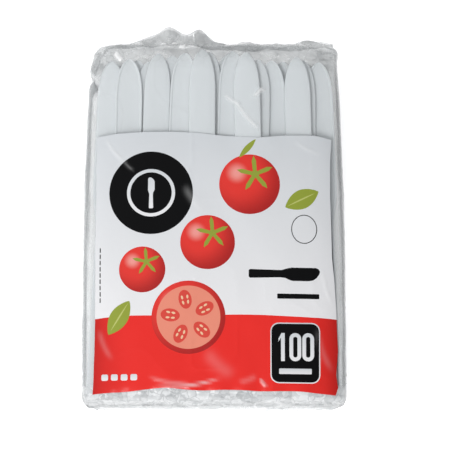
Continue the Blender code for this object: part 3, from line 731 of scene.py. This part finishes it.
def add_print(inks):
    """The whole front as one fine sheet, parted along the outlines of its fields."""
    regions = print_regions()
    points = []
    edges = []
    for loop in [loop for *_, loops in regions for loop in loops]:
        start = len(points)
        points += loop
        edges += [(start + i, start + (i + 1) % len(loop)) for i in range(len(loop))]
    for x in np.arange(-58, 60, PRINT_CELL):
        points += [(float(x), float(y)) for y in np.arange(PANEL_BOTTOM + 0.6, 127, PRINT_CELL)]
    flat = delaunay_2d_cdt([Vector(p) for p in points], edges, [], 0, 1e-4)
    place = np.array([tuple(p) for p in flat[0]])
    faces = np.array([face for face in flat[2]])
    corners = place[faces]
    middle = corners.mean(axis=1)
    side_a = corners[:, 1] - corners[:, 0]
    side_b = corners[:, 2] - corners[:, 0]
    turned = side_a[:, 0] * side_b[:, 1] - side_a[:, 1] * side_b[:, 0] < 0
    faces[turned] = faces[turned][:, ::-1]
    field = np.full(len(faces), -1)
    for number, (*_, loops) in enumerate(regions):
        within = np.zeros(len(faces), bool)
        for loop in loops:
            within ^= inside(middle, loop)
        field[within] = number
    way = place[:, 1] * MM
    arc = arc_of(place[:, 0] * MM, np.maximum(way, 0))
    verts, marks = film_points(arc, way, PRINT_LIFT)
    step = 0.3 * MM
    round_it = film_points(arc + step, way, PRINT_LIFT)[0] - film_points(arc - step, way, PRINT_LIFT)[0]
    along_it = film_points(arc, way + step, PRINT_LIFT)[0] - film_points(arc, way - step, PRINT_LIFT)[0]
    normals = np.cross(round_it, along_it)
    normals /= np.linalg.norm(normals, axis=1, keepdims=True)
    for number, (name, node, ink, loops) in enumerate(regions):
        used, own = np.unique(faces[field == number], return_inverse=True)
        own = own.reshape(-1, 3).tolist()
        piece = add_piece(name, verts[used], own, inks[ink], normals[used])
        add_values(piece, "shine", marks["shine"][used])
        low = np.min(loops[0], axis=0)
        high = np.max(loops[0], axis=0)
        spread = 2 * (place[used] - (low + high) / 2) / (high - low)
        add_values(piece, "place", np.column_stack((spread, np.zeros(len(used)))))
        if node:
            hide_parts(node)


# The knives.

def knife_stations():
    """Where the sections stand along a knife, with each one's width and depth."""
    neck = HANDLE_RUN + NECK_RUN
    runs = np.concatenate((
        HANDLE_ROUND * (1 - np.cos(np.linspace(0, math.pi / 2, 6))),
        np.linspace(14 * MM, HANDLE_RUN, 5),
        np.linspace(HANDLE_RUN, neck, 6)[1:],
        np.linspace(neck, neck + BLADE_SWELL, 7)[1:],
        np.linspace(neck + BLADE_SWELL, KNIFE_LENGTH - POINT_LENGTH, 4)[1:],
        KNIFE_LENGTH - POINT_LENGTH * (1 - np.sin(np.linspace(0, math.pi / 2, 16)))[1:],
    ))
    end = np.sqrt(np.maximum(1 - (1 - np.minimum(runs / HANDLE_ROUND, 1)) ** 2, 0))
    width = HANDLE_END_WIDTH + (HANDLE_WIDTH - HANDLE_END_WIDTH) * end
    width += (NECK_WIDTH - HANDLE_WIDTH) * np.clip(runs / HANDLE_RUN, 0, 1)
    width += (BLADE_WIDTH - NECK_WIDTH) * smoothstep(neck - 3 * MM, neck + BLADE_SWELL, runs)
    share = 1 - np.minimum((KNIFE_LENGTH - runs) / POINT_LENGTH, 1)
    width = np.maximum(width * np.sqrt(np.maximum(1 - share ** 2.5, 0)), TIP_WIDTH)
    depth = KNIFE_HEIGHT + (BLADE_HEIGHT - KNIFE_HEIGHT) * smoothstep(HANDLE_RUN, neck, runs)
    return runs, width, depth


def knife_section(width, depth):
    """A channel with round edges, seen from its end and open downwards."""
    draft = min(DRAFT, 0.1 * width)
    rim = min(RIM, 0.25 * width)
    half = width / 2
    foot = KNIFE_HEIGHT - depth
    web_foot = KNIFE_HEIGHT - WEB
    crowned = KNIFE_HEIGHT + 0.1 * MM
    right = (
        (half - draft, KNIFE_HEIGHT - 0.08 * MM, 0.45 * MM),
        (half, foot, 0.28 * MM),
        (half - rim, foot, 0.26 * MM),
        (half - rim - draft, web_foot, 0.22 * MM),
    )
    corners = [(0.0, crowned, 0.5 * half)] + list(right)
    corners += [(-x, z, radius) for x, z, radius in reversed(right)]
    outline = []
    count = len(corners)
    for i, (x, z, radius) in enumerate(corners):
        here = np.array((x, z))
        before = np.array(corners[i - 1][:2]) - here
        after = np.array(corners[(i + 1) % count][:2]) - here
        start = here + before * min(radius / np.linalg.norm(before), 0.45)
        end = here + after * min(radius / np.linalg.norm(after), 0.45)
        for t in (0.0, 0.35, 0.65, 1.0):
            outline.append((1 - t) ** 2 * start + 2 * t * (1 - t) * here + t * t * end)
    return outline


def knife_arrays():
    """One knife along +Y, its handle end at the origin: corners and faces."""
    verts = []
    runs, widths, depths = knife_stations()
    for run, width, depth in zip(runs, widths, depths):
        ring = knife_section(width, depth)
        verts += [(x, run, z) for x, z in ring]
    around = len(ring)
    faces = []
    for row in range(len(runs) - 1):
        for i in range(around):
            j = (i + 1) % around
            start = row * around
            faces.append((start + i, start + around + i, start + around + j, start + j))
    faces.append(tuple(range(around)))
    faces.append(tuple(reversed(range(len(verts) - around, len(verts)))))
    return np.array(verts), faces


def knife_sway(column, layer):
    from_top = LAYERS[column] - 1 - layer
    if from_top == 0:
        return TOP_SWAY[column], TOP_SLIDE[column]
    if from_top == 1:
        return NEXT_SWAY[column], NEXT_SLIDE[column]
    wander = math.sin(2.3 * column + 1.7 * layer)
    slide = math.sin(1.1 * column + 2.9 * layer)
    if column in (0, COLUMNS - 1):
        wander = (1 if column == 0 else -1) * abs(wander)
    return DEEP_SWAY * wander, DEEP_SLIDE * (1 + slide)


def knife_place(column, layer):
    sway, slide = knife_sway(column, layer)
    across = column - MIDDLE
    foot = Vector((across * HANDLE_PITCH, 0, 0))
    tip = Vector((across * TIP_PITCH, KNIFE_LENGTH, 0))
    way = (tip - foot).normalized()
    lean = math.atan2(way.x, way.y) + sway / (KNIFE_LENGTH - PIVOT)
    height = STACK_FLOOR + (layer + LIFTED_LAYERS[column]) * LAYER_PITCH
    place = Matrix.Translation(foot + way * PIVOT + Vector((0, slide, height)) - ORIGIN)
    place = place @ Matrix.Rotation(-lean, 4, "Z") @ Matrix.Translation((0, -PIVOT, 0))
    if column % 2:
        centre = Matrix.Translation((0, 0, KNIFE_HEIGHT / 2))
        place = place @ centre @ Matrix.Rotation(math.pi, 4, "Y") @ centre.inverted()
    return np.array(place)


def add_knife_piece(name, node, places, material):
    """One piece of one or more knives, each at its own place."""
    one, one_faces = knife_arrays()
    verts = []
    faces = []
    for number, place in enumerate(places):
        verts.append(one @ place[:3, :3].T + place[:3, 3])
        start = number * len(one)
        faces += [tuple(start + i for i in face) for face in one_faces]
    piece = add_piece(name, np.concatenate(verts), faces, material)
    piece.data.set_sharp_from_angle(angle=math.radians(50))
    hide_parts(node)


def add_knives(material):
    single = 0
    stacks = 0
    for column in range(COLUMNS):
        hidden = []
        for layer in range(LAYERS[column]):
            place = knife_place(column, layer)
            if layer not in (0, LAYERS[column] - 1) and column not in (0, COLUMNS - 1):
                hidden.append(place)
                continue
            single += 1
            add_knife_piece(f"moulded_knife_{single:02d}", f"knife_{single:02d}", [place], material)
        if hidden:
            stacks += 1
            add_knife_piece(f"moulded_stack_{stacks:02d}", f"knife_stack_{stacks:02d}", hidden, material)


# Materials.

FILM_CELLS = 190
SMALL_FILM_CELLS = 430
CELL_LINE_SHARPNESS = 14.0
CELL_TALL = 0.45
CELL_BEND = 0.9
LEAST_HAZE = 0.03
MOST_HAZE = 0.85
SHADE_LET_THROUGH = 0.4
FILM_ROUGHNESS = 0.09
HAZE_ROUGHNESS = 0.35
INK_ROUGHNESS = 0.2
PLASTIC_ROUGHNESS = 0.32


class Nodes:
    """The nodes of a material or the world. A value is a socket, a number, a colour or a place."""

    def __init__(self, owner):
        owner.use_nodes = True
        self.nodes = owner.node_tree.nodes
        self.links = owner.node_tree.links

    def set(self, socket, value):
        if isinstance(value, bpy.types.NodeSocket):
            self.links.new(value, socket)
        elif socket.type == "RGBA":
            socket.default_value = (*value, 1.0)
        else:
            socket.default_value = value

    def add(self, kind, inputs=None, **settings):
        """A new node, with its inputs given by name or number."""
        node = self.nodes.new(f"ShaderNode{kind}")
        for name, value in settings.items():
            setattr(node, name, value)
        for name, value in (inputs or {}).items():
            self.set(node.inputs[name], value)
        return node

    def math(self, operation, first, second=0.0):
        return self.add("Math", {0: first, 1: second}, operation=operation).outputs[0]

    def plus(self, first, second):
        return self.math("ADD", first, second)

    def times(self, first, second):
        return self.math("MULTIPLY", first, second)

    def mix(self, factor, low, high):
        """A colour between two."""
        node = self.add("Mix", {"Factor": factor, "A": low, "B": high}, data_type="RGBA")
        return node.outputs["Result"]

    def mark(self, name):
        """A number that the mesh carries at each vertex."""
        return self.add("Attribute", attribute_name=name).outputs["Fac"]

    def place(self, stretch):
        """The place on the piece in its own metres, stretched."""
        metres = self.add("TexCoord").outputs["Object"]
        return self.add("Mapping", {"Vector": metres, "Scale": stretch}).outputs["Vector"]

    def noise(self, scale, detail=3.0, stretch=(1, 1, 1)):
        inputs = {"Vector": self.place(stretch), "Scale": scale, "Detail": detail}
        return self.add("TexNoise", inputs).outputs["Fac"]

    def cells(self, scale, feature):
        """Bent cells, as crumpled film has between its creases."""
        place = self.place((1, 1, CELL_TALL))
        bent = self.add("TexNoise", {"Vector": place, "Scale": CELL_BEND * scale, "Detail": 2.0})
        reach = (CELL_BEND / scale,) * 3
        inputs = {0: bent.outputs["Color"], 1: reach, 2: place}
        shifted = self.add("VectorMath", inputs, operation="MULTIPLY_ADD").outputs["Vector"]
        return self.add("TexVoronoi", {"Vector": shifted, "Scale": scale}, feature=feature).outputs

    def bump(self, shader, height, distance):
        normal = self.add("Bump", {"Height": height, "Distance": distance}).outputs["Normal"]
        self.set(shader.inputs["Normal"], normal)
        return normal


def film_material():
    """Clear film: nearly invisible where flat, hazy where it is creased, crumpled or edge on. Its colour
    carries painted shade (dark crease lines, grey walls and ends, a dark edge-on rim) and painted white
    glints.
    """
    material = bpy.data.materials.new("clear_film_look")
    tree = Nodes(material)
    plus, times = tree.plus, tree.times
    names = ("walls", "tips", "handles", "flap", "folds", "shine")
    walls, tips, handles, flap, folds, shine = (tree.mark(name) for name in names)
    large_tone = tree.cells(FILM_CELLS, "F1")["Color"]
    tone = times(plus(large_tone, tree.cells(SMALL_FILM_CELLS, "F1")["Color"]), 0.5)
    cell_edge = tree.cells(FILM_CELLS, "DISTANCE_TO_EDGE")["Distance"]
    from_edge = tree.math("MINIMUM", times(cell_edge, CELL_LINE_SHARPNESS), 1.0)
    # Painted crease shade: dark grey lines along the cell edges of the crumpled film, strongest at the
    # handle end and fainter at the tips.
    creased = tree.math("MINIMUM", plus(handles, times(tips, 0.4)), 1.0)
    lines = times(tree.math("SUBTRACT", 1.0, from_edge), creased)
    streaks = tree.noise(300, 3.0, (1, 0.05, 1))
    clouds = tree.noise(110, 2.0, (0.6, 1.3, 1))
    edge_on = tree.add("LayerWeight", {"Blend": 0.25}).outputs["Facing"]
    # The film's side walls, away from the tips: they get more haze, and painted shade that greys them.
    sides = times(walls, tree.math("SUBTRACT", 1.0, times(tips, 0.6)))
    # Painted shade: a near black rim on the side walls where they are seen edge on, standing in for the
    # dark reflection along the silhouette.
    rim = tree.math("MAXIMUM", tree.math("SUBTRACT", walls, tips), 0.0)
    rim = times(rim, tree.math("POWER", edge_on, 2.0))

    colour = tree.mix(tone, (0.68, 0.70, 0.71), (0.97, 0.975, 0.98))
    for share, tint in (
        # Painted crease shade along the cell edges.
        (times(lines, 0.7), (0.36, 0.37, 0.38)),
        # Painted shade: grey side walls.
        (times(sides, 0.85), (0.50, 0.52, 0.53)),
        # Painted dark rim where the side walls are seen edge on.
        (rim, (0.09, 0.095, 0.10)),
        # Painted shade: the film over the tips and on the sealed flap is greyed, as it looks with the
        # bag's shaded inside seen through it.
        (times(tips, tree.math("SUBTRACT", 0.7, times(walls, 0.5))), (0.40, 0.41, 0.415)),
        (times(flap, 0.9), (0.42, 0.43, 0.435)),
        # Painted highlight: white glints along the given creases.
        (tree.math("MINIMUM", shine, 1.0), (0.99, 0.99, 0.99)),
    ):
        colour = tree.mix(share, colour, tint)

    haze = times(edge_on, plus(times(sides, plus(times(streaks, 0.9), 0.75)), 0.20))
    for place, share in (
        (handles, plus(times(tone, 0.80), 0.28)),
        (lines, 0.3),
        (tips, plus(times(clouds, 0.35), times(tone, 0.22))),
        (flap, 0.10),
        (rim, 0.60),
        (folds, 0.10),
        (shine, 0.4),
    ):
        haze = plus(haze, times(share, place))
    haze = tree.math("MINIMUM", plus(haze, LEAST_HAZE), MOST_HAZE)
    in_shade = tree.add("LightPath").outputs["Is Shadow Ray"]
    lit = tree.math("SUBTRACT", 1.0, times(in_shade, SHADE_LET_THROUGH))

    hazy = tree.nodes["Principled BSDF"]
    hazy.inputs["Roughness"].default_value = HAZE_ROUGHNESS
    tree.set(hazy.inputs["Base Color"], colour)
    clear = tree.add("BsdfTransparent", {"Color": (0.99, 0.995, 0.995)})
    inputs = {0: times(haze, lit), 1: clear.outputs["BSDF"], 2: hazy.outputs["BSDF"]}
    body = tree.add("MixShader", inputs)
    gloss = tree.add("BsdfGlossy", {"Roughness": FILM_ROUGHNESS})
    glance = tree.add("LayerWeight", {"Blend": 0.5})
    reflected = plus(times(tree.math("POWER", glance.outputs["Facing"], 5.0), 0.4), 0.04)
    inputs = {0: times(reflected, lit), 1: body.outputs["Shader"], 2: gloss.outputs["BSDF"]}
    coat = tree.add("MixShader", inputs)
    tree.set(tree.nodes["Material Output"].inputs["Surface"], coat.outputs["Shader"])
    facets = times(tree.math("MINIMUM", cell_edge, 0.3), handles)
    fine = times(tree.noise(420, 4.0), 0.12)
    normal = tree.bump(gloss, plus(times(facets, 2.0), fine), 1 * MM)
    tree.set(glance.inputs["Normal"], normal)
    return material


def ink_material(name, colour, specular=0.35, foot=None, painted_side_shade=None, round_dark=None):
    """Ink under glossy film, a little uneven, with painted highlights that whiten it along the film's
    creases.

    Foot is painted light: the colour at the field's lower end, lighter there as if lit from that side.
    The painted side shade is the colour at its left and right ends, darker where the film curves away
    from the light.
    Round dark is what a fruit turns to away from its lit upper left.
    """
    material = bpy.data.materials.new(f"{name}_ink_look")
    tree = Nodes(material)
    shader = tree.nodes["Principled BSDF"]
    shader.inputs["Roughness"].default_value = INK_ROUGHNESS
    shader.inputs["Specular IOR Level"].default_value = specular
    base = tree.mix(tree.noise(55), tuple(0.93 * part for part in colour), colour)
    place = tree.add("Attribute", attribute_name="place").outputs["Vector"]
    parts = tree.add("SeparateXYZ", {"Vector": place}).outputs
    # Painted light: the field lighter towards its lower end, as if lit from the handle end.
    if foot:
        base = tree.mix(tree.times(tree.math("SUBTRACT", 1.0, parts["Y"]), 0.5), base, foot)
    # Painted side shade: the field darker towards its left and right ends, where the film curves away
    # from the light.
    if painted_side_shade:
        share = tree.math("POWER", tree.math("ABSOLUTE", parts["X"]), 7.0)
        base = tree.mix(tree.math("MINIMUM", share, 1.0), base, painted_side_shade)
    if round_dark:
        base = round_shade(tree, place, base, round_dark)
    # Painted highlight: the ink whitened along the given creases.
    shine = tree.math("MINIMUM", tree.times(tree.mark("shine"), 0.35), 0.6)
    tree.set(shader.inputs["Base Color"], tree.mix(shine, base, (0.9, 0.9, 0.9)))
    tree.bump(shader, tree.noise(420, 4.0), 0.06 * MM)
    return material


def round_shade(tree, place, base, dark):
    """A fruit's shading: darker away from its lit side, with a soft pale spot on it."""
    for centre, near, far, most, shade in (
        ((-0.3, 0.3, 0), 0.5, 1.45, 0.9, dark),
        ((-0.42, 0.38, 0), 0.42, 0.05, 0.5, (1, 0.62, 0.55)),
    ):
        away = tree.add("VectorMath", {0: place, 1: centre}, operation="DISTANCE").outputs["Value"]
        inputs = {"Value": away, "From Min": near, "From Max": far, "To Max": most}
        share = tree.add("MapRange", inputs, interpolation_type="SMOOTHSTEP").outputs["Result"]
        base = tree.mix(share, base, shade)
    return base


def knife_material():
    """White moulded plastic with a faint flow pattern along the knife."""
    material = bpy.data.materials.new("white_plastic_look")
    tree = Nodes(material)
    shader = tree.nodes["Principled BSDF"]
    shader.inputs["Roughness"].default_value = PLASTIC_ROUGHNESS
    colour = tree.mix(tree.noise(40, 2.0, (1, 0.25, 1)), (0.70, 0.73, 0.745), (0.76, 0.785, 0.80))
    tree.set(shader.inputs["Base Color"], colour)
    tree.bump(shader, tree.noise(500, 3.0, (1, 0.2, 1)), 0.03 * MM)
    return material


def ink_materials():
    return {
        # The white ink's foot is painted light, lighter towards the handle end.
        "white": ink_material("white", (0.67, 0.695, 0.72), foot=(0.84, 0.83, 0.84)),
        # The red band gets painted side shade at its ends.
        "red": ink_material("red", (0.87, 0.026, 0.020), 0.25, painted_side_shade=(0.50, 0.012, 0.01)),
        "black": ink_material("black", (0.004, 0.004, 0.0045), specular=0.08),
        "tomato": ink_material("tomato", (0.80, 0.035, 0.025), round_dark=(0.36, 0.006, 0.006)),
        "flesh": ink_material("flesh", (0.86, 0.28, 0.19)),
        "pulp": ink_material("pulp", (0.72, 0.065, 0.045)),
        "seed": ink_material("seed", (0.90, 0.58, 0.36)),
        "leaf": ink_material("leaf", (0.30, 0.36, 0.04)),
        "vein": ink_material("vein", (0.52, 0.56, 0.16)),
    }


# Floor, light and camera.

FLOOR_DROP = 0.1 * MM
FLOOR_SEEN = 0.55
FLOOR_GLOW = 0.10
OVERHANG = (57 * MM, 62 * MM)
FOOT_FADE = 3 * MM


def add_floor():
    """A pale floor, white to the camera, that gives no light of its own under the pack."""
    bpy.ops.mesh.primitive_plane_add(size=6, location=(0, 0, -FLOOR_DROP))
    floor = bpy.context.object
    floor.name = "floor"
    material = bpy.data.materials.new("floor_look")
    tree = Nodes(material)
    shader = tree.nodes["Principled BSDF"]
    shader.inputs["Base Color"].default_value = (0.9, 0.9, 0.9, 1.0)
    shader.inputs["Roughness"].default_value = 0.9
    shader.inputs["Specular IOR Level"].default_value = 0.1
    path = tree.add("LightPath").outputs
    seen = tree.math("MAXIMUM", path["Is Camera Ray"], path["Is Glossy Ray"])
    seen = tree.math("MAXIMUM", seen, path["Is Transmission Ray"])
    strength = tree.plus(tree.times(seen, FLOOR_SEEN), FLOOR_GLOW)
    place = tree.add("TexCoord").outputs["Object"]
    place = tree.add("SeparateXYZ", {"Vector": place}).outputs
    share = tree.math("MAXIMUM", tree.plus(tree.math("DIVIDE", place["Y"], REACH), 0.5), 0.0)
    share = tree.math("POWER", share, TAPER_POWER)
    taper = tree.times(share, HANDLE_HALF_WIDTH - TIP_HALF_WIDTH)
    aside = tree.plus(tree.math("ABSOLUTE", place["X"]), taper)
    low = HANDLE_END[0][0] - ORIGIN.y
    high = REACH + TIP_END[-1][0] - ORIGIN.y
    along = tree.math("ABSOLUTE", tree.math("SUBTRACT", place["Y"], (low + high) / 2))
    half = (high - low) / 2
    past = []
    for out, near, far in ((aside, *OVERHANG), (along, half - FOOT_FADE, half)):
        inputs = {"Value": out, "From Min": near, "From Max": far}
        past.append(tree.add("MapRange", inputs).outputs["Result"])
    strength = tree.times(strength, tree.math("MAXIMUM", *past))
    shader.inputs["Emission Color"].default_value = (1, 1, 1, 1)
    tree.set(shader.inputs["Emission Strength"], strength)
    floor.data.materials.append(material)


def add_area(name, place, target, size, power, colour=(1, 1, 1)):
    light = bpy.data.lights.new(name, "AREA")
    light.shape = "RECTANGLE"
    light.size, light.size_y = size
    light.energy = power
    light.color = colour
    lamp = bpy.data.objects.new(name, light)
    lamp.location = place
    lamp.rotation_euler = (Vector(target) - Vector(place)).to_track_quat("-Z", "Y").to_euler()
    bpy.context.scene.collection.objects.link(lamp)


def add_world():
    """Soft light all round, weaker from the right, and white behind the pack."""
    world = bpy.data.worlds.new("studio")
    bpy.context.scene.world = world
    tree = Nodes(world)
    path = tree.add("LightPath").outputs
    seen = tree.math("MAXIMUM", path["Is Camera Ray"], path["Is Transmission Ray"])
    way = tree.add("TexCoord").outputs["Generated"]
    right = tree.add("SeparateXYZ", {"Vector": way}).outputs["X"]
    inputs = {"Value": right, "From Min": -0.4, "From Max": 1.0, "To Min": 0.80, "To Max": 0.20}
    level = tree.add("MapRange", inputs).outputs["Result"]
    background = tree.nodes["Background"]
    background.inputs["Color"].default_value = (0.97, 0.985, 1.0, 1.0)
    tree.set(background.inputs["Strength"], tree.math("MAXIMUM", seen, level))


def add_lights():
    add_world()
    add_area("key", (-0.30, -0.45, 1.2), (0, 0, 0.02), (0.5, 0.4), 6.05)
    add_area("side", (-1.2, 0.1, 0.5), (0, 0, 0.03), (0.9, 0.6), 0.6)
    add_area("glint", (-0.20, -0.70, 1.0), (0, 0, 0.04), (0.05, 0.05), 0.6)


VIEW_ELEVATION = math.radians(80)
VIEW_DISTANCE = 1.3
MM_PER_PIXEL = 0.48
PICTURE = 450
SENSOR = 36.0
MIDDLE_LINE_PIXEL = 214.0
ZERO_ROW_PIXEL = 411.0
ZERO_ROW = -2.0 * MM
AIM_HEIGHT = 30 * MM


def add_camera():
    """Seen from above the handle end's side, with the pack where the photograph has it."""
    x = (PICTURE / 2 - MIDDLE_LINE_PIXEL) * MM_PER_PIXEL * MM
    up_picture = (ZERO_ROW_PIXEL - PICTURE / 2) * MM_PER_PIXEL * MM + ZERO_ROW
    y = (up_picture - AIM_HEIGHT * math.cos(VIEW_ELEVATION)) / math.sin(VIEW_ELEVATION)
    aim = Vector((x, y, AIM_HEIGHT)) - ORIGIN
    back = Vector((0, -math.cos(VIEW_ELEVATION), math.sin(VIEW_ELEVATION)))
    data = bpy.data.cameras.new("camera")
    data.sensor_width = SENSOR
    data.lens = SENSOR * VIEW_DISTANCE / (PICTURE * MM_PER_PIXEL * MM)
    data.clip_start = 0.01
    camera = bpy.data.objects.new("camera", data)
    camera.location = aim + back * VIEW_DISTANCE
    camera.rotation_euler = (-back).to_track_quat("-Z", "Y").to_euler()
    bpy.context.scene.collection.objects.link(camera)
    bpy.context.scene.camera = camera


def main():
    bpy.context.scene.view_settings.view_transform = "Standard"
    add_camera()
    add_lights()
    add_floor()
    add_knives(knife_material())
    add_film(film_material())
    add_print(ink_materials())


main()
